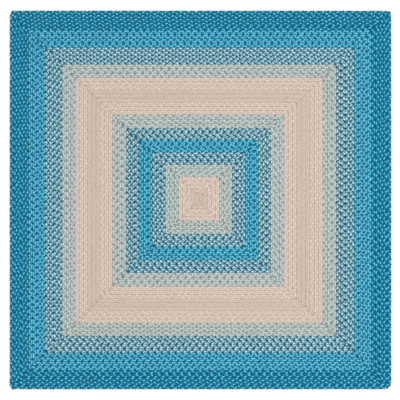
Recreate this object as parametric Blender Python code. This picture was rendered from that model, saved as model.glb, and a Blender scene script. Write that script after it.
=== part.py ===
"""Square braided rug, lying flat.

Rows of three-strand braid lie flat as squares, one inside another, and each row is laced to the
row before it, so the finished rug is one solid sheet. Every row stands up as a rib on the top
face and again on the reversible underside, where the flat crowns of the ribs carry the rug. The
corners are softly rounded, the rim's a little more than the rows' inside it, and the innermost
square is a hairpin of braid, a little longer than it is wide.

Metres, +Z up. X runs across the rug, Y along it. The origin is under the middle of the rug's
outline, on the floor.
"""

from collections import namedtuple
from math import cos, pi, sin

import bmesh
import bpy

# Driving sizes
RUG_WIDTH = 1.830
RUG_LENGTH = 1.816
THICKNESS = 0.0092
ROW_CORNER_RADIUS = 0.008
RIM_CORNER_RADII = (0.034, 0.012, 0.011, 0.011)  # bottom right, then anticlockwise

# A rib's section, as parts of the braid's width and of the rug's thickness
CROWN_FROM = 0.27
CROWN_TO = 0.73
LAND_FROM = 0.22
LAND_TO = 0.78
TOP_GROOVE = 0.24
UNDER_GROOVE = 0.18
RIM_LOW = 0.30
RIM_HIGH = 0.68

# The innermost row is a hairpin, drawn out along Y and closed but for a narrow slit
HAIRPIN_LENGTH = 0.016
HAIRPIN_SLIT = 0.90

CORNER_STEPS = 3

# Bands of one yarn mix, from the rim inwards. The braid is pulled a little tighter on some sides
# than on others, so each band has its own width in millimetres on each side.
Band = namedtuple("Band", "yarn rows left right top bottom")
BANDS = [
    Band("teal", 5, 88.0, 94.0, 92.0, 90.0),
    Band("turquoise", 4, 80.5, 82.5, 82.5, 83.5),
    Band("navy_white", 4, 81.5, 86.5, 81.5, 80.5),
    Band("grey_cream", 3, 62.0, 64.5, 63.5, 63.0),
    Band("beige", 9, 180.0, 187.5, 178.5, 175.5),
    Band("grey_cream", 3, 66.0, 64.0, 65.0, 66.0),
    Band("navy_white", 3, 61.0, 58.5, 56.5, 61.5),
    Band("turquoise", 3, 64.0, 62.5, 58.5, 62.5),
    Band("navy_white", 3, 62.5, 63.0, 60.0, 62.0),
    Band("grey_cream", 3, 63.5, 61.5, 59.0, 63.0),
]
CENTRE_YARN = "beige"
CENTRE_ROWS = 5

# Yarn colours as the eye mixes them, and the fibre's finish
YARN_COLOURS = {
    "teal": (0.024, 0.212, 0.347),
    "turquoise": (0.053, 0.296, 0.423),
    "navy_white": (0.171, 0.337, 0.397),
    "grey_cream": (0.429, 0.479, 0.462),
    "beige": (0.631, 0.515, 0.434),
}
YARN_ROUGHNESS = 0.92

MILLIMETRE = 0.001


def row_edges(side):
    """Distances in from one side of the rug to the edges of its rows, rim first, for all but the
    rows in the middle."""
    edges = [0.0]
    for band in BANDS:
        row_width = getattr(band, side) * MILLIMETRE / band.rows
        edges += [edges[-1] + row_width * (row + 1) for row in range(band.rows)]
    return edges


def all_edges():
    """Edges of every row on every side, rim first. The rows in the middle share what is left of
    the rug's width, and the hairpin's length is left over along Y."""
    edges = {side: row_edges(side) for side in ("left", "right", "top", "bottom")}
    across = RUG_WIDTH - edges["left"][-1] - edges["right"][-1]
    along = RUG_LENGTH - edges["top"][-1] - edges["bottom"][-1]
    for side, span in (("left", across), ("right", across), ("top", along), ("bottom", along)):
        run = span - HAIRPIN_LENGTH if side in ("top", "bottom") else span
        first = edges[side][-1]
        edges[side] += [first + run / 2 * (row + 1) / CENTRE_ROWS for row in range(CENTRE_ROWS)]
    return edges


def row_yarns():
    """The yarn mix of each row, rim first."""
    yarns = [band.yarn for band in BANDS for _ in range(band.rows)]
    return yarns + [CENTRE_YARN] * CENTRE_ROWS


def corner_radii(row, part, most):
    """Radii of a square's four corners, from the bottom right one, anticlockwise. They ease from
    the rim's own radii at its outer edge to the rows' radius at the rim row's inner edge."""
    rimward = 1 - part if row == 0 else 0
    return [
        min(ROW_CORNER_RADIUS + (rim - ROW_CORNER_RADIUS) * rimward, most)
        for rim in RIM_CORNER_RADII
    ]


def rounded_square(edges, row, part, height):
    """Points of the square that lies at a part of a row's width, at one height, anticlockwise."""

    def inset(side):
        outer, inner = edges[side][row], edges[side][row + 1]
        return outer + (inner - outer) * part

    x_low, x_high = inset("left") - RUG_WIDTH / 2, RUG_WIDTH / 2 - inset("right")
    y_low, y_high = inset("bottom") - RUG_LENGTH / 2, RUG_LENGTH / 2 - inset("top")
    radii = corner_radii(row, part, (x_high - x_low) / 2 * HAIRPIN_SLIT)
    corners = ((x_high, y_low), (x_high, y_high), (x_low, y_high), (x_low, y_low))
    inwards = ((-1, 1), (-1, -1), (1, -1), (1, 1))
    points = []
    for number, ((x, y), (in_x, in_y), radius) in enumerate(zip(corners, inwards, radii)):
        centre_x, centre_y = x + in_x * radius, y + in_y * radius
        for step in range(CORNER_STEPS + 1):
            angle = pi / 2 * (number - 1 + step / CORNER_STEPS)
            points.append(
                (centre_x + radius * cos(angle), centre_y + radius * sin(angle), height)
            )
    return points


def section(rows):
    """The rug's section from the middle of the top face, out round the rim and back to the middle
    of the underside, as (row, part of its width, height) for each square."""
    crown, groove, under = THICKNESS, THICKNESS * (1 - TOP_GROOVE), THICKNESS * UNDER_GROOVE
    last = rows - 1
    top = [(last, HAIRPIN_SLIT, groove)]
    for row in range(last, -1, -1):
        top += [(row, CROWN_TO, crown), (row, CROWN_FROM, crown)]
        if row > 0:
            top.append((row, 0.0, groove))
    rim = [(0, 0.0, THICKNESS * RIM_HIGH), (0, 0.0, THICKNESS * RIM_LOW)]
    underside = []
    for row in range(rows):
        if row > 0:
            underside.append((row, 0.0, under))
        underside += [(row, LAND_FROM, 0.0), (row, LAND_TO, 0.0)]
    underside.append((last, HAIRPIN_SLIT, under))
    return top + rim + underside


def yarn_material(yarn):
    """Matte spun yarn in the colour that a band's strands mix to."""
    material = bpy.data.materials.new("braid_" + yarn)
    material.use_nodes = True
    shader = material.node_tree.nodes["Principled BSDF"]
    shader.inputs["Base Color"].default_value = (*YARN_COLOURS[yarn], 1.0)
    shader.inputs["Roughness"].default_value = YARN_ROUGHNESS
    shader.inputs["Metallic"].default_value = 0.0
    return material


def braided_rug(collection):
    """The rug as one closed solid: the section's squares, each joined to the next by a ring of
    faces, with a face over the first and the last."""
    edges = all_edges()
    yarns = row_yarns()
    squares = section(len(yarns))
    palette = list(YARN_COLOURS)

    shell = bmesh.new()
    rings = [[shell.verts.new(p) for p in rounded_square(edges, *square)] for square in squares]
    count = len(rings[0])
    for index in range(len(rings) - 1):
        outer_row = min(squares[index][0], squares[index + 1][0])
        for k in range(count):
            n = (k + 1) % count
            face = shell.faces.new(
                (rings[index][k], rings[index + 1][k], rings[index + 1][n], rings[index][n])
            )
            face.material_index = palette.index(yarns[outer_row])
    for cap in (rings[0], rings[-1][::-1]):
        shell.faces.new(cap).material_index = palette.index(CENTRE_YARN)
    bmesh.ops.recalc_face_normals(shell, faces=shell.faces)

    mesh = bpy.data.meshes.new("rug")
    shell.to_mesh(mesh)
    shell.free()
    for yarn in palette:
        mesh.materials.append(yarn_material(yarn))
    rug = bpy.data.objects.new("rug", mesh)
    collection.objects.link(rug)
    return rug


def main():
    for old in list(bpy.data.objects):
        bpy.data.objects.remove(old, do_unlink=True)
    collection = bpy.data.collections.new("braided_rug")
    bpy.context.scene.collection.children.link(collection)
    braided_rug(collection)


main()
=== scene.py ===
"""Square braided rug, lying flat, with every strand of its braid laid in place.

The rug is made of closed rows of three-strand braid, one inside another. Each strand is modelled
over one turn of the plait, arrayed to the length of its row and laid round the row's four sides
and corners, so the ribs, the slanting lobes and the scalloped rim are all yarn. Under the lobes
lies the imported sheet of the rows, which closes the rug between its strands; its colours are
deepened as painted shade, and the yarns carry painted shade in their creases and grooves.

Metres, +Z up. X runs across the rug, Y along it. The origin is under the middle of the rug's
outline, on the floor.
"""

from __future__ import annotations

import logging
from dataclasses import dataclass
from enum import Enum
from math import ceil, pi, radians, sin, sqrt
from typing import Any

import bpy
import numpy as np
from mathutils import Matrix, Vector

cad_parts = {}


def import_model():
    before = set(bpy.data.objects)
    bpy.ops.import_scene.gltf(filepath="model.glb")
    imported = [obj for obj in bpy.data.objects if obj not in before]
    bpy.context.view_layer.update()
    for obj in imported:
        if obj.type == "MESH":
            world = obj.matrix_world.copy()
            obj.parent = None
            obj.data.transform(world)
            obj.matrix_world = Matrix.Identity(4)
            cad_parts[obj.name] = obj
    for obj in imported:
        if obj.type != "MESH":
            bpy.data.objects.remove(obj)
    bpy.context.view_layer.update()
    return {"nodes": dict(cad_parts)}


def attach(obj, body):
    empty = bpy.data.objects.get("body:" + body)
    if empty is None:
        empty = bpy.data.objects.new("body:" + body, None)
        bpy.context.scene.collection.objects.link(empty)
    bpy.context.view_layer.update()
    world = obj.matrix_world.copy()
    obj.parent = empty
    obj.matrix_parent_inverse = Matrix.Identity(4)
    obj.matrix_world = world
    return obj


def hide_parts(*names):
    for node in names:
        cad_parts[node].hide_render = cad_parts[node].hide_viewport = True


log = logging.getLogger("braided_rug")

Tree = bpy.types.NodeTree
Socket = bpy.types.NodeSocket
Colour = tuple[float, float, float, float]  # linear red, green and blue, and alpha

MILLIMETRE = 0.001
HAIR = 1e-6  # m, stands in for a length of nothing where something is divided by it
YARN_MAP = "yarn"  # metres along the strand, and the part of the way round it
BAKE_MAP = "OFBake"  # a cell of a square for each turn of strand
ACROSS = "across"  # a point's place across its row, from -0.5 to 0.5

# The rug's own sizes, as in the solid
RUG_WIDTH = 1.830
RUG_LENGTH = 1.816
THICKNESS = 0.0092
ROW_CORNER_RADIUS = 0.008
RIM_CORNER_RADII = (0.034, 0.012, 0.011, 0.011)  # bottom right, then anticlockwise
HAIRPIN_LENGTH = 0.016
HAIRPIN_SLIT = 0.90


class Yarn(Enum):
    """The yarns that the strands are made of."""

    DARK_TEAL = "dark_teal"
    LIGHT_BLUE = "light_blue"
    NAVY = "navy"
    MID_TEAL = "mid_teal"
    WHITE = "white"
    GREY_CREAM = "grey_cream"
    GREY_GREEN = "grey_green"
    BEIGE = "beige"
    CREAM = "cream"


class Side(Enum):
    """The rug's four sides, as the camera sees them."""

    LEFT = "left"
    RIGHT = "right"
    TOP = "top"
    BOTTOM = "bottom"


def linear(hex_colour: str) -> Colour:
    """Turns an sRGB hex colour to linear.

    Args:
        hex_colour: Six hex digits, red first.

    Returns:
        The colour, with an alpha of one.
    """
    parts = [int(hex_colour[i : i + 2], 16) / 255 for i in (0, 2, 4)]
    red, green, blue = (
        part / 12.92 if part <= 0.04045 else ((part + 0.055) / 1.055) ** 2.4 for part in parts
    )
    return red, green, blue, 1.0


def add_node(
    tree: Tree, kind: str, inputs: dict[Any, Any] | None = None, **settings: Any
) -> bpy.types.Node:
    """Adds a node with its settings, values and links.

    Args:
        tree: The material's node tree.
        kind: The node's kind, Blender's name for it without "ShaderNode".
        inputs: A value, or the socket that feeds it, for each input by name or place.
        settings: The node's own properties.

    Returns:
        The new node.
    """
    node = tree.nodes.new("ShaderNode" + kind)
    for name, value in settings.items():
        setattr(node, name, value)
    for name, value in (inputs or {}).items():
        if isinstance(value, Socket):
            tree.links.new(value, node.inputs[name])
        else:
            node.inputs[name].default_value = value
    return node


def deeper(colour: Colour, part: float) -> Colour:
    """Deepens a colour.

    Args:
        colour: The colour in full light.
        part: What is left of its lightness.

    Returns:
        The deeper colour, with an alpha of one.
    """
    red, green, blue, _ = colour
    return part * red, part * green, part * blue, 1.0


def new_material(name: str) -> tuple[bpy.types.Material, Tree]:
    """Makes a material with an empty Principled shader.

    Args:
        name: The material's name.

    Returns:
        The material and its node tree.
    """
    material = bpy.data.materials.new(name)
    material.use_nodes = True
    return material, material.node_tree


def select_only(*pieces: bpy.types.Object) -> None:
    """Deselects everything, then selects these pieces and makes the first one active.

    Args:
        pieces: The objects to select.
    """
    bpy.ops.object.select_all(action="DESELECT")
    for piece in pieces:
        piece.select_set(True)
    bpy.context.view_layer.objects.active = pieces[0]


@dataclass(frozen=True)
class SpunYarn:
    """Spun rug yarn, several plies bundled with a slight twist to a soft strand. It is matte, its
    plies show as fine ridges along the strand, and loose fibre gives it a faint bloom.

    Attributes:
        yarn: Which yarn it is.
        colour: The yarn's colour in full light, sRGB hex.
        fleck: The colour of its lighter fibres, sRGB hex.
        crease: What is left of its lightness as painted shade down in the creases between the
            lobes.
        groove: How much of its lightness it loses as painted shade at its row's edges, and a part
        of it in the row's middle, where the strands dive under each other.
        dye: How much its lightness varies, up and down, from one patch to the next.
    """

    yarn: Yarn
    colour: str
    fleck: str
    crease: float = 0.72
    groove: float = 0.26
    dye: float = 0.20

    PLIES = 9  # round the strand, each about 3 mm wide
    PLY_LEAN = 0.026  # m along the strand for the twist to move on by one ply
    PLY_CREST = 0.6  # height on its wave, from -1 to 1, above which a ply has its full colour
    PLY_GAP = 0.74  # painted shade: what is left of the yarn's lightness between its plies
    STRAND_ROUND = 0.029  # m round the strand
    FIBRE_LENGTH = 0.007
    FIBRE_WIDTH = 0.0007  # of a wisp of fibres, because one alone is too fine to show
    FLECK_FROM = 0.5  # strength of the fibres' pattern at which the fleck's colour begins to show
    FLECK_TO = 0.8  # and at which it is all that shows
    PATCH = 0.010  # m across a patch of dye
    PATCH_FROM = 0.3  # strength of the patches' pattern at which the dye is deepest
    PATCH_TO = 0.7  # and at which it is palest
    BLOOM = 0.10
    BLOOM_SPREAD = 0.55
    ROUGH_LOW = 0.8  # roughness of the smoothest fibre
    ROUGH_HIGH = 0.98  # and of the most open
    SHINE = 0.15
    RELIEF = 0.5 * MILLIMETRE  # depth between the plies
    RELIEF_STRENGTH = 0.7
    FIBRE_RELIEF = 0.35  # how far the fibres stand up, as a part of the plies' relief
    CREASE_FROM = 0.0014  # m above or below the rug's middle, where the yarn is shaded most
    CREASE_TO = 0.0045  # and from where it is in full light
    GAP = 0.4  # how much more its row's edges are shaded than the row's middle
    RICH = 1.3  # how much stronger its colour is in the shade, lit by the yarn around it
    RICH_FROM = 0.5  # what is left of the light where the colour is strongest
    RICH_TO = 0.85  # and from where it is only as strong as in full light

    @property
    def slot(self) -> str:
        """The record's material slot."""
        return f"yarn_{self.yarn.value}"

    def material(self) -> bpy.types.Material:
        """Builds the yarn's material on the strand's own map.

        Returns:
            The material.
        """
        made, tree = new_material(f"spun_yarn_{self.yarn.value}")
        shader = tree.nodes["Principled BSDF"]
        strand = add_node(tree, "UVMap", uv_map=YARN_MAP).outputs["UV"]
        place = add_node(tree, "TexCoord").outputs["Object"]
        ply, fibre = self.plies(tree, strand), self.fibres(tree, strand)
        # The base colour carries the yarn's dye patches and painted shade in the braid's creases
        # and grooves
        colour = self.dyed_and_shaded(tree, place, self.flecked(tree, ply, fibre))
        tree.links.new(colour, shader.inputs["Base Color"])

        rough = add_node(
            tree, "MapRange", {"Value": fibre, "To Min": self.ROUGH_HIGH, "To Max": self.ROUGH_LOW}
        )
        tree.links.new(rough.outputs[0], shader.inputs["Roughness"])
        shader.inputs["Sheen Weight"].default_value = self.BLOOM
        shader.inputs["Sheen Roughness"].default_value = self.BLOOM_SPREAD
        shader.inputs["Sheen Tint"].default_value = linear(self.fleck)
        shader.inputs["Specular IOR Level"].default_value = self.SHINE

        height = add_node(
            tree, "Math", {0: fibre, 1: self.FIBRE_RELIEF, 2: ply}, operation="MULTIPLY_ADD"
        )
        relief = add_node(
            tree,
            "Bump",
            {
                "Strength": self.RELIEF_STRENGTH,
                "Distance": self.RELIEF,
                "Height": height.outputs[0],
            },
        )
        tree.links.new(relief.outputs[0], shader.inputs["Normal"])
        return made

    def plies(self, tree: Tree, strand: Socket) -> Socket:
        """Draws the plies, which wind slowly round the strand.

        Args:
            tree: The material's node tree.
            strand: The way along the strand and round it.

        Returns:
            The socket with the plies, 0 between them and 1 on them.
        """
        way = add_node(tree, "SeparateXYZ", {"Vector": strand})
        round_it = add_node(
            tree, "Math", {0: way.outputs["Y"], 1: 2 * pi * self.PLIES}, operation="MULTIPLY"
        )
        turn = add_node(
            tree,
            "Math",
            {0: way.outputs["X"], 1: 2 * pi / self.PLY_LEAN, 2: round_it.outputs[0]},
            operation="MULTIPLY_ADD",
        )
        wave = add_node(tree, "Math", {0: turn.outputs[0]}, operation="SINE")
        ply = add_node(
            tree,
            "MapRange",
            {"Value": wave.outputs[0], "From Min": -1.0, "From Max": self.PLY_CREST},
        )
        return ply.outputs[0]

    def fibres(self, tree: Tree, strand: Socket) -> Socket:
        """Draws the fibres as fine streaks along the strand.

        Args:
            tree: The material's node tree.
            strand: The way along the strand and round it.

        Returns:
            The socket with the streaks, from 0 to 1.
        """
        scale = (1 / self.FIBRE_LENGTH, self.STRAND_ROUND / self.FIBRE_WIDTH, 1.0)
        streak = add_node(tree, "Mapping", {"Vector": strand, "Scale": scale})
        fibre = add_node(
            tree,
            "TexNoise",
            {"Vector": streak.outputs[0], "Scale": 1.0, "Detail": 2.0, "Roughness": 0.6},
            noise_dimensions="2D",
        )
        return fibre.outputs["Fac"]

    def flecked(self, tree: Tree, ply: Socket, fibre: Socket) -> Socket:
        """Colours the yarn: its own colour, with painted shade between the plies and lighter
        fibres.

        Args:
            tree: The material's node tree.
            ply: The plies.
            fibre: The fibres.

        Returns:
            The socket with the colour.
        """
        full = linear(self.colour)
        plies = add_node(
            tree, "Mix", {"Factor": ply, 6: deeper(full, self.PLY_GAP), 7: full}, data_type="RGBA"
        )
        flecks = add_node(
            tree,
            "MapRange",
            {"Value": fibre, "From Min": self.FLECK_FROM, "From Max": self.FLECK_TO},
        )
        flecked = add_node(
            tree,
            "Mix",
            {"Factor": flecks.outputs[0], 6: plies.outputs[2], 7: linear(self.fleck)},
            data_type="RGBA",
        )
        return flecked.outputs[2]

    def shaded(self, tree: Tree, place: Socket) -> Socket:
        """Finds the light that reaches the yarn down in the braid.

        Args:
            tree: The material's node tree.
            place: The place on the rug.

        Returns:
            The socket with what is left of the full light, less in the creases between the lobes
            and where its row's strands dive under each other.
        """
        depth = add_node(tree, "SeparateXYZ", {"Vector": place})
        above = add_node(
            tree, "Math", {0: depth.outputs["Z"], 1: THICKNESS / 2}, operation="SUBTRACT"
        )
        out = add_node(tree, "Math", {0: above.outputs[0]}, operation="ABSOLUTE")
        crease = add_node(
            tree,
            "MapRange",
            {
                "Value": out.outputs[0],
                "From Min": self.CREASE_FROM,
                "From Max": self.CREASE_TO,
                "To Min": self.crease,
                "To Max": 1.0,
            },
        )
        across = add_node(tree, "Attribute", attribute_name=ACROSS)
        waves = []
        for count in (1, 2):  # both have a crest in the row's middle, the second at its edges too
            turn = add_node(
                tree, "Math", {0: across.outputs["Fac"], 1: 2 * pi * count}, operation="MULTIPLY"
            )
            wave = add_node(tree, "Math", {0: turn.outputs[0]}, operation="COSINE")
            waves.append(wave.outputs[0])
        dive = add_node(
            tree, "Math", {0: waves[0], 1: -self.GAP, 2: waves[1]}, operation="MULTIPLY_ADD"
        )
        groove = add_node(
            tree,
            "MapRange",
            {
                "Value": dive.outputs[0],
                "From Min": -1.0,
                "From Max": 1 + self.GAP,
                "To Min": 1.0,
                "To Max": 1 - self.groove,
            },
        )
        shaded = add_node(
            tree, "Math", {0: groove.outputs[0], 1: crease.outputs[0]}, operation="MULTIPLY"
        )
        return shaded.outputs[0]

    def dyed_and_shaded(self, tree: Tree, place: Socket, colour: Socket) -> Socket:
        """Gives the colour its patches of dye and its painted shade down in the braid, where it is
        richer.

        Args:
            tree: The material's node tree.
            place: The place on the rug.
            colour: The yarn's colour.

        Returns:
            The socket with the finished colour.
        """
        patch = add_node(
            tree,
            "TexNoise",
            {"Vector": place, "Scale": 1 / self.PATCH, "Detail": 1.0, "Roughness": 0.5},
        )
        dye = add_node(
            tree,
            "MapRange",
            {
                "Value": patch.outputs["Fac"],
                "From Min": self.PATCH_FROM,
                "From Max": self.PATCH_TO,
                "To Min": 1 - self.dye,
                "To Max": 1 + self.dye,
            },
        )
        # Painted shade: the colour is deepened in the creases and grooves, and made richer there as
        # painted bounce light
        shaded = self.shaded(tree, place)
        light = add_node(tree, "Math", {0: dye.outputs[0], 1: shaded}, operation="MULTIPLY")
        rich = add_node(
            tree,
            "MapRange",
            {
                "Value": shaded,
                "From Min": self.RICH_FROM,
                "From Max": self.RICH_TO,
                "To Min": self.RICH,
                "To Max": 1.0,
            },
        )
        dyed_and_shaded = add_node(
            tree,
            "HueSaturation",
            {"Saturation": rich.outputs[0], "Value": light.outputs[0], "Color": colour},
        )
        return dyed_and_shaded.outputs[0]


@dataclass(frozen=True)
class ShadedPackedYarn:
    """The yarn deep between the lobes, pressed together, where only its fibre's mottle is seen,
    in a colour deepened as painted shade.

    Attributes:
        name: What the band is called.
        colour: The colour that the band's yarns mix to, deepened as painted shade, sRGB hex.
    """

    name: str
    colour: str

    GRAIN = 0.004  # m across a tuft of fibre
    GRAIN_GAP = 0.72  # what is left of the yarn's lightness between the tufts
    ROUGH = 0.95
    SHINE = 0.2
    RELIEF_STRENGTH = 0.8

    def material(self) -> bpy.types.Material:
        """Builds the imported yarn's material.

        Returns:
            The material.
        """
        made, tree = new_material(f"packed_yarn_{self.name}")
        shader = tree.nodes["Principled BSDF"]
        place = add_node(tree, "TexCoord").outputs["Object"]
        grain = add_node(
            tree,
            "TexNoise",
            {"Vector": place, "Scale": 1 / self.GRAIN, "Detail": 2.0, "Roughness": 0.65},
        )
        full = linear(self.colour)
        mottle = add_node(
            tree,
            "Mix",
            {"Factor": grain.outputs["Fac"], 6: deeper(full, self.GRAIN_GAP), 7: full},
            data_type="RGBA",
        )
        tree.links.new(mottle.outputs[2], shader.inputs["Base Color"])
        shader.inputs["Roughness"].default_value = self.ROUGH
        shader.inputs["Specular IOR Level"].default_value = self.SHINE
        relief = add_node(
            tree,
            "Bump",
            {
                "Strength": self.RELIEF_STRENGTH,
                "Distance": MILLIMETRE,
                "Height": grain.outputs["Fac"],
            },
        )
        tree.links.new(relief.outputs[0], shader.inputs["Normal"])
        return made


# In the pale bands light bounces from strand to strand, so their creases and grooves are paler
YARNS = {
    finish.yarn: finish
    for finish in (
        SpunYarn(Yarn.DARK_TEAL, "007398", "04a6d2", crease=0.68, groove=0.28),
        SpunYarn(Yarn.LIGHT_BLUE, "6ecbe8", "c2effa", crease=0.62, groove=0.34),
        SpunYarn(Yarn.NAVY, "285f75", "628fa0"),
        SpunYarn(Yarn.MID_TEAL, "82c0ce", "aad4df"),
        SpunYarn(Yarn.WHITE, "c0e2ee", "e0ecf2"),
        SpunYarn(Yarn.GREY_CREAM, "c9cdca", "d6dad4", crease=0.88, groove=0.17, dye=0.12),
        SpunYarn(Yarn.GREY_GREEN, "8ba7a5", "aec2bf", crease=0.84, groove=0.20),
        SpunYarn(Yarn.BEIGE, "d1beb0", "dbcfc6", crease=0.97, groove=0.12, dye=0.05),
        SpunYarn(Yarn.CREAM, "dfcec2", "eadfd6", crease=0.97, groove=0.12, dye=0.08),
    )
}


Plait = tuple[Yarn, Yarn, Yarn]  # the three strands' yarns, in the order they are plaited


@dataclass(frozen=True)
class Band:
    """Rows of braid of one yarn mix, side by side.

    Attributes:
        name: What the band is called.
        packing: The name of its packed yarn.
        mix: The plait of each row, rim first.
        widths: The band's width on each side, in millimetres.
        turn: Length of braid in which a strand comes back to its place, in millimetres.
    """

    name: str
    packing: str
    mix: tuple[Plait, ...]
    widths: dict[Side, float]
    turn: float


def widths(left: float, right: float, top: float, bottom: float) -> dict[Side, float]:
    """Names a band's four widths."""
    return {Side.LEFT: left, Side.RIGHT: right, Side.TOP: top, Side.BOTTOM: bottom}


TEAL_MIX = (Yarn.DARK_TEAL, Yarn.DARK_TEAL, Yarn.LIGHT_BLUE)
TURQUOISE_MIX = (Yarn.LIGHT_BLUE, Yarn.LIGHT_BLUE, Yarn.DARK_TEAL)
NAVY_MIX = (Yarn.WHITE, Yarn.MID_TEAL, Yarn.NAVY)
PALE_MIX = (Yarn.GREY_CREAM, Yarn.GREY_CREAM, Yarn.GREY_GREEN)
FLECKED_MIX = (Yarn.BEIGE, Yarn.BEIGE, Yarn.CREAM)
PLAIN_MIX = (Yarn.BEIGE, Yarn.BEIGE, Yarn.BEIGE)

BEIGE_MIXES = (FLECKED_MIX,) * 3 + (PLAIN_MIX,) * 3 + (FLECKED_MIX,) * 3
CENTRE_MIXES = (FLECKED_MIX,) * 3 + (PLAIN_MIX,) * 2
CENTRE_TURN = 36.0  # mm

# From the rim inwards. The braid is pulled a little tighter on some sides than on others.
BANDS = (
    Band("border", "teal", (TEAL_MIX,) * 5, widths(88.0, 94.0, 92.0, 90.0), 35.9),
    Band(
        "outer_turquoise", "turquoise", (TURQUOISE_MIX,) * 4, widths(80.5, 82.5, 82.5, 83.5), 32.7
    ),
    Band("outer_navy", "navy_white", (NAVY_MIX,) * 4, widths(81.5, 86.5, 81.5, 80.5), 32.7),
    Band("outer_pale", "grey_cream", (PALE_MIX,) * 3, widths(62.0, 64.5, 63.5, 63.0), 36.6),
    Band("beige", "beige", BEIGE_MIXES, widths(180.0, 187.5, 178.5, 175.5), 34.0),
    Band("middle_pale", "grey_cream", (PALE_MIX,) * 3, widths(66.0, 64.0, 65.0, 66.0), 37.3),
    Band("middle_navy", "navy_white", (NAVY_MIX,) * 3, widths(61.0, 58.5, 56.5, 61.5), 33.9),
    Band(
        "inner_turquoise", "turquoise", (TURQUOISE_MIX,) * 3, widths(64.0, 62.5, 58.5, 62.5), 34.1
    ),
    Band("inner_navy", "navy_white", (NAVY_MIX,) * 3, widths(62.5, 63.0, 60.0, 62.0), 33.9),
    Band("inner_pale", "grey_cream", (PALE_MIX,) * 3, widths(63.5, 61.5, 59.0, 63.0), 37.5),
)

# The colour that each band's yarns mix to, deepened as painted shade between the lobes
PACKED_IN_SHADE = {
    "teal": ShadedPackedYarn("teal", "025c82"),
    "turquoise": ShadedPackedYarn("turquoise", "10698a"),
    "navy_white": ShadedPackedYarn("navy_white", "467789"),
    "grey_cream": ShadedPackedYarn("grey_cream", "8fa09d"),
    "beige": ShadedPackedYarn("beige", "bfae9f"),
}


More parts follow.
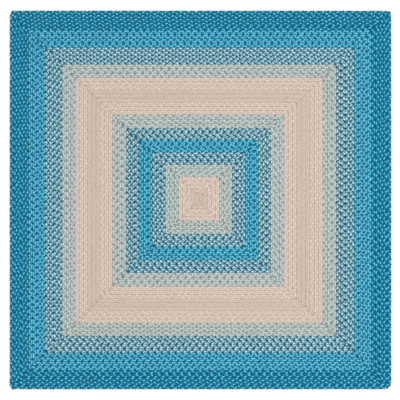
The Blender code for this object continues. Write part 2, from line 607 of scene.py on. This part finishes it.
@dataclass(frozen=True)
class Row:
    """One closed row of braid, between an outer and an inner square.

    Attributes:
        outer: How far in from each side of the rug the row's outer edge lies, in metres.
        inner: The same for its inner edge.
        radii: Its outer edge's corner radii, from the bottom right corner, anticlockwise.
    """

    outer: dict[Side, float]
    inner: dict[Side, float]
    radii: tuple[float, float, float, float]

    EASE = 0.040  # m of straight braid over which the plait leans into a corner
    HALF_LEAST = 0.0004  # m, the least half width of a square, in the middle of the hairpin

    def square(self, offset: np.ndarray) -> tuple[Any, ...]:
        """Finds the rounded square that runs round the rug at some offset from the row's middle.

        Args:
            offset: How far outwards, in widths of the row.

        Returns:
            The square's low and high x, its low and high y, and its corners' radii, from the
            bottom right one, anticlockwise.
        """
        inset = {
            side: (self.outer[side] + self.inner[side]) / 2
            - offset * (self.inner[side] - self.outer[side])
            for side in Side
        }
        x_low, x_high = inset[Side.LEFT] - RUG_WIDTH / 2, RUG_WIDTH / 2 - inset[Side.RIGHT]
        y_low, y_high = inset[Side.BOTTOM] - RUG_LENGTH / 2, RUG_LENGTH / 2 - inset[Side.TOP]
        middle = (x_low + x_high) / 2
        half = np.maximum((x_high - x_low) / 2, self.HALF_LEAST)
        most = half * HAIRPIN_SLIT
        rounding = np.clip(offset + 0.5, 0, 1)  # from the row's inner edge to its outer one
        radii = [
            np.minimum(ROW_CORNER_RADIUS + (outer - ROW_CORNER_RADIUS) * rounding, most)
            for outer in self.radii
        ]
        return middle - half, middle + half, y_low, y_high, radii

    def stretches(self) -> list[float]:
        """Lengths along the row's middle line, from the bottom left corner, anticlockwise.

        Returns:
            Four times the length of a side and the length of the corner after it.
        """
        ends, _, radii = self.ends(np.zeros(1))
        lengths = []
        for (first, last), radius in zip(ends, radii):
            lengths += [abs(float(last[0] - first[0])), float(radius[0]) * pi / 2]
        return lengths

    def length(self) -> float:
        """Length of the row's middle line."""
        return sum(self.stretches())

    def width(self) -> float:
        """Width of the row, as the mean of its sides."""
        return sum(self.inner[side] - self.outer[side] for side in Side) / 4

    def lay(self, along: np.ndarray, offset: np.ndarray) -> tuple[np.ndarray, ...]:
        """Lays points of straight braid round the row.

        Args:
            along: Distance along the braid's middle line, in metres.
            offset: Distance outwards from it, in widths of the row.

        Returns:
            The points' x and y on the rug, the way that the row faces there, in radians, and the
            radius of its bend, which leaves that much room inwards.
        """
        here_ends, held, radii = self.ends(offset)
        middle_ends = self.ends(np.zeros(1))[0]
        x, y, facing = (np.zeros_like(offset) for _ in range(3))
        bend = np.full_like(offset, np.inf)
        stretches = self.stretches()
        along = np.mod(along, sum(stretches))
        begun = 0.0
        for place, stretch in enumerate(stretches):
            here = (along >= begun) & (along <= begun + stretch)
            done = along - begun
            side = place // 2
            facing[here] = (side - 1) * pi / 2
            if place % 2 == 0:
                ease = max(min(self.EASE, stretch), HAIR)
                (first, last), (first_0, last_0) = here_ends[side], middle_ends[side]
                way = 1.0 if side < 2 else -1.0
                at = (
                    first_0
                    + way * done
                    + (first - first_0) * np.clip(1 - done / ease, 0, 1)
                    + (last - last_0) * np.clip(1 - (stretch - done) / ease, 0, 1)
                )
                if side % 2 == 0:
                    x[here], y[here] = at[here], held[side][here]
                else:
                    x[here], y[here] = held[side][here], at[here]
            else:
                angle = (side - 1) * pi / 2 + done / max(stretch, HAIR) * pi / 2
                facing[here] = angle[here]
                centre = (here_ends[side][1], here_ends[(side + 1) % 4][0])
                centre_x, centre_y = centre if side % 2 == 0 else centre[::-1]
                bend[here] = radii[side][here]
                x[here] = (centre_x + radii[side] * np.cos(angle))[here]
                y[here] = (centre_y + radii[side] * np.sin(angle))[here]
            begun += stretch
        return x, y, facing, bend

    def ends(self, offset: np.ndarray) -> tuple[Any, ...]:
        """Finds where the straight sides begin and end at some offset from the row's middle.

        Args:
            offset: How far outwards, in widths of the row.

        Returns:
            The first and last place along each side, anticlockwise from the bottom one, the place
            across that each side keeps, and the corners' radii.
        """
        x_low, x_high, y_low, y_high, radii = self.square(offset)
        low_right, top_right, top_left, low_left = radii
        ends = (
            (x_low + low_left, x_high - low_right),
            (y_low + low_right, y_high - top_right),
            (x_high - top_right, x_low + top_left),
            (y_high - top_left, y_low + low_left),
        )
        return ends, (y_low, x_high, y_high, x_low), radii


@dataclass(frozen=True)
class Station:
    """One ring of the strand's section along a turn of the plait.

    Attributes:
        angle: Degrees of the turn.
        height: Height of the strand's middle, from -1 under the braid to 1 on top of it.
        width: The section's width, as a part of its full one.
        lobe: Which of the turn's two lobes on top it belongs to, or None.
    """

    angle: float
    height: float
    width: float
    lobe: int | None


@dataclass
class Strand:
    """One strand of the three-strand plait, over a turn. It comes over from an edge to the
    middle, where the next strand covers it, goes under to the other edge, and comes back over.

    Attributes:
        turn: Length of the modelled turn, in metres.
        width: Width of the row that it is modelled for.
        sway: How far its middle goes to either side, in widths of the row.
        half_width: Half the section's width, in widths of the row.
        half_height: Half the section's height, in metres.
    """

    turn: float = 0.036
    width: float = 0.020
    sway: float = 0.338
    half_width: float = 0.340
    half_height: float = 0.0032

    CORNERS = 4  # of the section, the first at its bottom
    STATIONS = (
        Station(45.0, -1.0, 0.95, None),
        Station(92.0, 0.45, 1.0, 0),
        Station(128.0, 1.0, 1.0, 0),
        Station(164.0, 0.30, 0.9, 0),
        Station(225.0, -1.0, 0.95, None),
        Station(272.0, 0.45, 1.0, 1),
        Station(308.0, 1.0, 1.0, 1),
        Station(344.0, 0.30, 0.9, 1),
    )

    def middle(self, station: Station, turns: float = 0.0) -> Vector:
        """Finds the middle of a station's section.

        Args:
            station: The station.
            turns: Whole turns further along.

        Returns:
            The point, on straight braid along X.
        """
        angle = radians(station.angle)
        rise = THICKNESS / 2 - self.half_height
        return Vector(
            (
                self.turn * (station.angle / 360 + turns),
                -self.sway * self.width * sin(angle),
                THICKNESS / 2 + rise * station.height,
            )
        )

    def model(self) -> bpy.types.Object:
        """Models one turn of the strand: a four-cornered section that stands on one corner, so
        that it has a crown and two flanks, extruded from station to station.

        Returns:
            The turn, open at both ends, with its map of the way along and round it.
        """
        first = self.STATIONS[0]
        bpy.ops.object.select_all(action="DESELECT")
        bpy.ops.mesh.primitive_circle_add(
            vertices=self.CORNERS,
            radius=1.0,
            location=self.middle(first),
            rotation=(0, pi / 2, 0),
        )
        strand = bpy.context.active_object
        strand.name = "strand_turn"
        bpy.ops.object.transform_apply(location=True, rotation=True, scale=True)
        bpy.ops.object.mode_set(mode="EDIT")
        bpy.ops.mesh.select_all(action="SELECT")
        bpy.ops.transform.resize(
            value=(1, self.half_width * self.width * first.width, self.half_height),
            center_override=self.middle(first),
        )
        here, width = self.middle(first), first.width
        for number in range(1, len(self.STATIONS) + 1):
            station = self.STATIONS[number % len(self.STATIONS)]
            there = self.middle(station, number // len(self.STATIONS))
            bpy.ops.mesh.extrude_region_move(TRANSFORM_OT_translate={"value": there - here})
            bpy.ops.transform.resize(value=(1, station.width / width, 1), center_override=there)
            here, width = there, station.width
        bpy.ops.mesh.select_all(action="SELECT")
        bpy.ops.mesh.normals_make_consistent(inside=False)
        bpy.ops.object.mode_set(mode="OBJECT")
        self.map_turn(strand.data)
        return strand

    def map_turn(self, mesh: bpy.types.Mesh) -> None:
        """Gives the turn a map with the metres along the strand and the part of the way round it.

        Args:
            mesh: The turn's mesh.
        """
        points = np.array([vertex.co[:] for vertex in mesh.vertices])
        angles = [station.angle / 360 for station in self.STATIONS]
        angles.append(angles[0] + 1)
        ring = np.abs(points[:, :1] / self.turn - np.array([angles])).argmin(axis=1)
        middles = np.array(
            [self.middle(station)[:] for station in (*self.STATIONS, self.STATIONS[0])]
        )
        away = points - middles[ring]
        corner = np.arctan2(away[:, 1], -away[:, 2]) / (2 * pi) * self.CORNERS
        round_here = np.round(corner) % self.CORNERS / self.CORNERS  # 0 at the bottom
        uv_map = mesh.uv_layers.new(name=YARN_MAP)
        for face in mesh.polygons:
            round_it = [round_here[v] for v in face.vertices]
            if max(round_it) > 0.5:  # the face that closes the round ends at 1, not at 0
                round_it = [part or 1.0 for part in round_it]
            for loop, vertex, part in zip(face.loop_indices, face.vertices, round_it):
                uv_map.data[loop].uv = (points[vertex, 0], part)


@dataclass
class BraidBand:
    """A band's rows of braid, as one piece of strands for each of its yarns.

    Attributes:
        name: What the band is called.
        mix: The plait of each row.
        rows: Where each row lies.
        turn: Length of braid in which a strand comes back to its place, in metres.
        strand: The turn of strand that they are made from.
        seed: Seed of the braid's unevenness.
    """

    name: str
    mix: tuple[Plait, ...]
    rows: list[Row]
    turn: float
    strand: Strand
    seed: int

    WANDER = 0.12  # of a turn that the plait is pulled forward or back, slowly, along a row
    WAVES = (1, 2, 3, 5, 8)  # how many times in a row each of its pulls comes and goes
    GIRTH = 0.05  # unevenness of a lobe's width and height
    SWAY = 0.016  # of the row's width, unevenness of a lobe's place across it
    LIFT = 0.00016  # m, unevenness of a lobe's height above the floor
    SHIFT = 0.03  # of a turn, unevenness of a lobe's place along the row
    MOST = 2.0  # the furthest that a lobe departs, in the measures above
    LINE = 0.17  # how far from the row's middle the line that lobes are laid by runs, in its widths
    DIVE_LINE = 0.13  # a diving strand's line, as a part of that
    BEND_ROOM = 0.9  # how far into a bend a lobe reaches, as a part of the bend's radius
    PROUD = 0.0004  # m that a lobe may stand above the solid's top
    SLACK = 1e-4  # of a turn, so that rounding moves no ring to the turn before
    RING_GAP = 0.0001  # m, more than there is between two turns' rings where they meet
    SEAM_GAP = 0.000002  # m, the same for a row's last ring and its first
    CELL_EDGE = 0.04  # left free on every side of a turn's cell, as a part of it

    def build(self, turn_piece: bpy.types.Object) -> list[bpy.types.Object]:
        """Lays the band's strands and joins those of one yarn.

        Args:
            turn_piece: The modelled turn of strand.

        Returns:
            The band's pieces.
        """
        laid: dict[Yarn, list[bpy.types.Object]] = {}
        cells: dict[Yarn, int] = {}
        for number, (row, mix) in enumerate(zip(self.rows, self.mix)):
            chance = np.random.default_rng([self.seed, number])
            turns = max(2, round(row.length() / self.turn))
            straight = self.array(turn_piece, turns)
            phase = chance.random()
            wander = [
                (count, self.WANDER / count * chance.normal(), chance.random() * 2 * pi)
                for count in self.WAVES
            ]
            for place, yarn in enumerate(mix):
                piece = straight.copy()
                piece.data = straight.data.copy()
                bpy.context.collection.objects.link(piece)
                start = cells.get(yarn, 0)
                self.lay(piece.data, row, turns, phase + place / 3, wander, start, chance)
                cells[yarn] = start + turns
                laid.setdefault(yarn, []).append(piece)
            bpy.data.objects.remove(straight, do_unlink=True)
        pieces = []
        for yarn, strands in laid.items():
            piece = self.join(strands, f"{self.name}_{yarn.value}_strands")
            self.map_cells(piece.data, cells[yarn])
            piece.data.materials.append(bpy.data.materials[f"spun_yarn_{yarn.value}"])
            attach(piece, "root")
            log.info("%s: %d faces", piece.name, len(piece.data.polygons))
            pieces.append(piece)
        return pieces

    def array(self, turn_piece: bpy.types.Object, turns: int) -> bpy.types.Object:
        """Arrays the turn to the length of a row.

        Args:
            turn_piece: The modelled turn of strand.
            turns: How many turns the row has.

        Returns:
            A straight strand.
        """
        straight = turn_piece.copy()
        straight.data = turn_piece.data.copy()
        bpy.context.collection.objects.link(straight)
        select_only(straight)
        array = straight.modifiers.new("turns", "ARRAY")
        array.count = turns
        array.use_relative_offset = False
        array.use_constant_offset = True
        array.constant_offset_displace = (self.strand.turn, 0, 0)
        array.offset_u = self.strand.turn
        array.use_merge_vertices = True
        array.merge_threshold = self.RING_GAP
        bpy.ops.object.modifier_apply(modifier=array.name)
        return straight

    def lay(
        self,
        mesh: bpy.types.Mesh,
        row: Row,
        turns: int,
        phase: float,
        wander: list[tuple[int, float, float]],
        start: int,
        chance: np.random.Generator,
    ) -> None:
        """Lays a straight strand round its row, a little unevenly, as braid is.

        Args:
            mesh: The strand's mesh, changed in place.
            row: The row that it goes round.
            turns: How many turns the row has.
            phase: How far on the strand starts, in turns.
            wander: Waves that pull the plait along the row, each with its count, size and start.
            start: The strand's first cell in its piece's map of cells.
            chance: The row's source of unevenness.
        """
        strand, stations = self.strand, self.strand.STATIONS
        points = np.empty(len(mesh.vertices) * 3)
        mesh.vertices.foreach_get("co", points)
        points = points.reshape(-1, 3)
        part = points[:, 0] / strand.turn - stations[0].angle / 360
        period = np.floor(part + self.SLACK).astype(int)
        angles = np.array([s.angle / 360 for s in stations]) - stations[0].angle / 360
        ring = np.abs((part - period)[:, None] - angles[None]).argmin(axis=1)
        middles = np.array([strand.middle(s)[:] for s in stations])[ring]
        period %= turns

        lobe = np.array([-1 if s.lobe is None else s.lobe for s in stations])[ring]
        on_top = lobe >= 0
        pick = (period, np.maximum(lobe, 0))
        girth, sway, lift, shift = (
            size * chance.normal(size=(turns, 2)).clip(-self.MOST, self.MOST)[pick] * on_top
            for size in (self.GIRTH, self.SWAY, self.LIFT, self.SHIFT)
        )
        girth = 1 + girth

        out = np.copysign(np.where(on_top, 1, self.DIVE_LINE) * self.LINE, -middles[:, 1])
        flank = sway - middles[:, 1] / strand.width - out
        flank += (middles[:, 1] - points[:, 1]) * girth / strand.width
        mesh.attributes.new(ACROSS, "FLOAT", "POINT").data.foreach_set("value", out + flank)
        height = middles[:, 2] + (points[:, 2] - middles[:, 2]) * girth + lift
        total = row.length()
        along = (points[:, 0] / strand.turn + phase + shift) / turns
        pulled = sum(
            size * np.sin(2 * pi * count * along + begin) for count, size, begin in wander
        )
        x, y, facing, bend = row.lay((along + pulled / turns) * total, out)
        flank = np.maximum(flank * row.width(), -self.BEND_ROOM * bend)
        points = np.stack(
            [
                x + flank * np.cos(facing),
                y + flank * np.sin(facing),
                height.clip(0, THICKNESS + self.PROUD),
            ],
            axis=1,
        )
        mesh.vertices.foreach_set("co", points.ravel())

        # The map's metres follow the row's own turn, and each turn has its own cell to bake in
        uvs = np.empty(len(mesh.loops) * 2)
        mesh.uv_layers[YARN_MAP].data.foreach_get("uv", uvs)
        uvs = uvs.reshape(-1, 2)
        cells = mesh.uv_layers.new(name=BAKE_MAP)
        spread = uvs.copy()
        spread[:, 0] = uvs[:, 0] / strand.turn - stations[0].angle / 360 + start
        cells.data.foreach_set("uv", spread.ravel())
        uvs[:, 0] = (uvs[:, 0] / strand.turn + start) * total / turns
        mesh.uv_layers[YARN_MAP].data.foreach_set("uv", uvs.ravel())
        mesh.update()

    def join(self, strands: list[bpy.types.Object], name: str) -> bpy.types.Object:
        """Joins strands, and closes each where its last turn meets its first.

        Args:
            strands: The laid strands.
            name: The piece's name.

        Returns:
            The piece.
        """
        select_only(*strands)
        if len(strands) > 1:
            bpy.ops.object.join()
        piece = bpy.context.active_object
        piece.name = piece.data.name = name
        bpy.ops.object.mode_set(mode="EDIT")
        bpy.ops.mesh.select_all(action="SELECT")
        bpy.ops.mesh.remove_doubles(threshold=self.SEAM_GAP)
        bpy.ops.mesh.normals_make_consistent(inside=False)
        bpy.ops.object.mode_set(mode="OBJECT")
        bpy.ops.object.shade_smooth()
        return piece

    def map_cells(self, mesh: bpy.types.Mesh, cells: int) -> None:
        """Sets each turn of the piece's strands in its own cell of a square.

        Args:
            mesh: The piece's mesh.
            cells: How many turns it has.
        """
        side = ceil(sqrt(cells))
        uvs = np.empty(len(mesh.loops) * 2)
        mesh.uv_layers[BAKE_MAP].data.foreach_get("uv", uvs)
        uvs = uvs.reshape(-1, 2)
        starts = np.empty(len(mesh.polygons), int)
        counts = np.empty(len(mesh.polygons), int)
        mesh.polygons.foreach_get("loop_start", starts)
        mesh.polygons.foreach_get("loop_total", counts)
        sums = np.add.reduceat(uvs[:, 0], starts) / counts
        cell = np.repeat(np.floor(sums), counts)
        edge, inside = self.CELL_EDGE, 1 - 2 * self.CELL_EDGE
        uvs[:, 0] = (np.mod(cell, side) + edge + inside * (uvs[:, 0] - cell)) / side
        uvs[:, 1] = (np.floor(cell / side) + edge + inside * uvs[:, 1]) / side
        mesh.uv_layers[BAKE_MAP].data.foreach_set("uv", uvs.ravel())


@dataclass
class RugSheet:
    """The laid rows under their lobes, packed to one ribbed sheet. It is the solid's own form,
    pressed down and drawn in from the rim, so that only the gaps between the strands show it.
    Its colours are deepened as painted shade in those gaps.

    Attributes:
        rows: Where each row lies.
        packing: The name of each row's packed yarn.
        press: What is left of the solid's height.
        draw_in: How far the rim is drawn in, in metres.
    """

    rows: list[Row]
    packing: list[str]
    press: float = 0.30
    draw_in: float = 0.0045

    WELD = 0.00001  # m, less than lies between any two of the solid's corners

    def build(self, solid: bpy.types.Object) -> bpy.types.Object:
        """Copies the solid, presses it and dresses it with packed yarn.

        Args:
            solid: The rug as packed.

        Returns:
            The sheet.
        """
        sheet = solid.copy()
        sheet.data = solid.data.copy()
        sheet.name = sheet.data.name = "rug_sheet"
        bpy.context.collection.objects.link(sheet)
        select_only(sheet)
        bpy.ops.object.mode_set(mode="EDIT")
        bpy.ops.mesh.select_all(action="SELECT")
        bpy.ops.mesh.remove_doubles(threshold=self.WELD)
        bpy.ops.transform.resize(value=(1, 1, self.press), center_override=(0, 0, THICKNESS / 2))
        bpy.ops.object.mode_set(mode="OBJECT")
        self.draw_in_rim(sheet.data)
        self.dress(sheet.data)
        bpy.ops.object.shade_smooth()
        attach(sheet, "root")
        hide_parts("rug")
        log.info("%s: %d faces", sheet.name, len(sheet.data.polygons))
        return sheet

    def dress(self, mesh: bpy.types.Mesh) -> None:
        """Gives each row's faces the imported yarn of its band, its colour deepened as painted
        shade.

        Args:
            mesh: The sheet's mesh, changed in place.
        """
        mesh.materials.clear()
        for packed in PACKED_IN_SHADE.values():
            mesh.materials.append(packed.material())
        order = list(PACKED_IN_SHADE)
        edges = {side: [row.inner[side] for row in self.rows] for side in Side}
        for face in mesh.polygons:
            x, y = face.center.x, face.center.y
            inset = {
                Side.LEFT: x + RUG_WIDTH / 2,
                Side.RIGHT: RUG_WIDTH / 2 - x,
                Side.TOP: RUG_LENGTH / 2 - y,
                Side.BOTTOM: y + RUG_LENGTH / 2,
            }
            row = min(int(np.searchsorted(edges[side], inset[side])) for side in Side)
            face.material_index = order.index(self.packing[min(row, len(self.packing) - 1)])

    def draw_in_rim(self, mesh: bpy.types.Mesh) -> None:
        """Draws the rim in, so that the outer row's lobes stand out past it.

        Args:
            mesh: The sheet's mesh, changed in place.
        """
        reach_x = RUG_WIDTH / 2 - self.draw_in
        reach_y = RUG_LENGTH / 2 - self.draw_in
        for vertex in mesh.vertices:
            vertex.co.x = max(-reach_x, min(reach_x, vertex.co.x))
            vertex.co.y = max(-reach_y, min(reach_y, vertex.co.y))


@dataclass
class BraidedRug:
    """The whole rug: its rows from the rim to the hairpin in the middle.

    Attributes:
        strand: The turn of strand that all rows are made from.
        seed: Seed of the braid's unevenness.
    """

    strand: Strand
    seed: int = 45

    def rows(self) -> list[Row]:
        """Works out where each row lies.

        Returns:
            The rows, rim first.
        """
        edges: list[dict[Side, float]] = [{side: 0.0 for side in Side}]
        for band in BANDS:
            step = {side: band.widths[side] * MILLIMETRE / len(band.mix) for side in Side}
            for _ in band.mix:
                edges.append({side: edges[-1][side] + step[side] for side in Side})
        last = edges[-1]
        across = RUG_WIDTH - last[Side.LEFT] - last[Side.RIGHT]
        along = RUG_LENGTH - last[Side.TOP] - last[Side.BOTTOM] - HAIRPIN_LENGTH
        share = {
            side: (along if side in (Side.TOP, Side.BOTTOM) else across) / 2 / len(CENTRE_MIXES)
            for side in Side
        }
        for _ in CENTRE_MIXES:
            edges.append({side: edges[-1][side] + share[side] for side in Side})
        radii = [RIM_CORNER_RADII] + [(ROW_CORNER_RADIUS,) * 4] * (len(edges) - 2)
        return [Row(*sizes) for sizes in zip(edges, edges[1:], radii)]

    def build(self, solid: bpy.types.Object) -> list[bpy.types.Object]:
        """Builds the sheet and all bands of strands.

        Args:
            solid: The rug as packed.

        Returns:
            The rug's pieces, the sheet first.
        """
        rows = self.rows()
        packing = [band.packing for band in BANDS for _ in band.mix]
        packing += ["beige"] * len(CENTRE_MIXES)
        sheet = RugSheet(rows, packing).build(solid)
        turn_piece = self.strand.model()
        pieces: list[bpy.types.Object] = []
        plan = [(band.name, band.mix, band.turn) for band in BANDS]
        plan.append(("centre", CENTRE_MIXES, CENTRE_TURN))
        for number, (name, mix, turn) in enumerate(plan):
            here, rows = rows[: len(mix)], rows[len(mix) :]
            band = BraidBand(name, mix, here, turn * MILLIMETRE, self.strand, self.seed + number)
            pieces += band.build(turn_piece)
        bpy.data.objects.remove(turn_piece, do_unlink=True)
        return [sheet, *pieces]


@dataclass
class Studio:
    """A plain white floor under even overhead light, seen from straight above.

    Attributes:
        camera_place: Where the camera stands, in metres, a little to the left as for the photo.
        lens: Its focal length, in millimetres.
        sensor: The width of its sensor, in millimetres.
        sight: How far it sees, in metres.
        floor_size: Length of the floor's sides, in metres.
        sky: Strength of the even light from all round.
        lamp_place: Where the soft lamp hangs, in metres, a little to the right.
        lamp_size: Length of its sides, in metres.
        lamp_power: Its power, in watts.
    """

    camera_place: tuple[float, float, float] = (-0.0028, 0.0, 4.545)
    lens: float = 85.0
    sensor: float = 36.0
    sight: float = 100.0
    floor_size: float = 30.0
    sky: float = 0.80
    lamp_place: tuple[float, float, float] = (1.4, -0.2, 6.0)
    lamp_size: float = 5.0
    lamp_power: float = 260.0

    def build(self) -> None:
        """Lays the floor and sets the lights and the camera."""
        self.lay_floor()
        self.light()
        data = bpy.data.cameras.new("camera")
        data.lens, data.sensor_width, data.clip_end = self.lens, self.sensor, self.sight
        camera = bpy.data.objects.new("camera", data)
        camera.location = self.camera_place
        bpy.context.collection.objects.link(camera)
        bpy.context.scene.camera = camera
        bpy.context.scene.view_settings.view_transform = "Standard"

    def lay_floor(self) -> None:
        """Lays a wide floor of matte white paper, which shows only the rug's soft shadow."""
        bpy.ops.object.select_all(action="DESELECT")
        bpy.ops.mesh.primitive_plane_add(size=self.floor_size, location=(0, 0, 0))
        floor = bpy.context.active_object
        floor.name = floor.data.name = "floor"
        material, tree = new_material("matte_white_floor")
        shader = tree.nodes["Principled BSDF"]
        shader.inputs["Base Color"].default_value = linear("f4f4f3")
        shader.inputs["Roughness"].default_value = 1.0
        shader.inputs["Specular IOR Level"].default_value = 0.0
        floor.data.materials.append(material)

    def light(self) -> None:
        """Sets an even white sky and one large soft lamp overhead."""
        world = bpy.data.worlds.new("white_room")
        world.use_nodes = True
        background = world.node_tree.nodes["Background"]
        background.inputs["Color"].default_value = (1.0, 1.0, 1.0, 1.0)
        background.inputs["Strength"].default_value = self.sky
        bpy.context.scene.world = world
        data = bpy.data.lights.new("soft_lamp", "AREA")
        data.shape, data.size, data.size_y = "RECTANGLE", self.lamp_size, self.lamp_size
        data.energy = self.lamp_power
        lamp = bpy.data.objects.new("soft_lamp", data)
        lamp.location = self.lamp_place
        lamp.rotation_mode = "QUATERNION"
        lamp.rotation_quaternion = lamp.location.to_track_quat("Z", "Y")
        bpy.context.collection.objects.link(lamp)


def main() -> None:
    """Loads the frame, builds the rug and the studio, and logs how many pieces and faces the rug
    has.
    """
    logging.basicConfig(level=logging.INFO, format="%(message)s")
    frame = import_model()
    for finish in YARNS.values():
        finish.material()
    pieces = BraidedRug(Strand()).build(frame["nodes"]["rug"])
    log.info("%d pieces, %d faces", len(pieces), sum(len(p.data.polygons) for p in pieces))
    Studio().build()


if __name__ == "__main__":
    main()
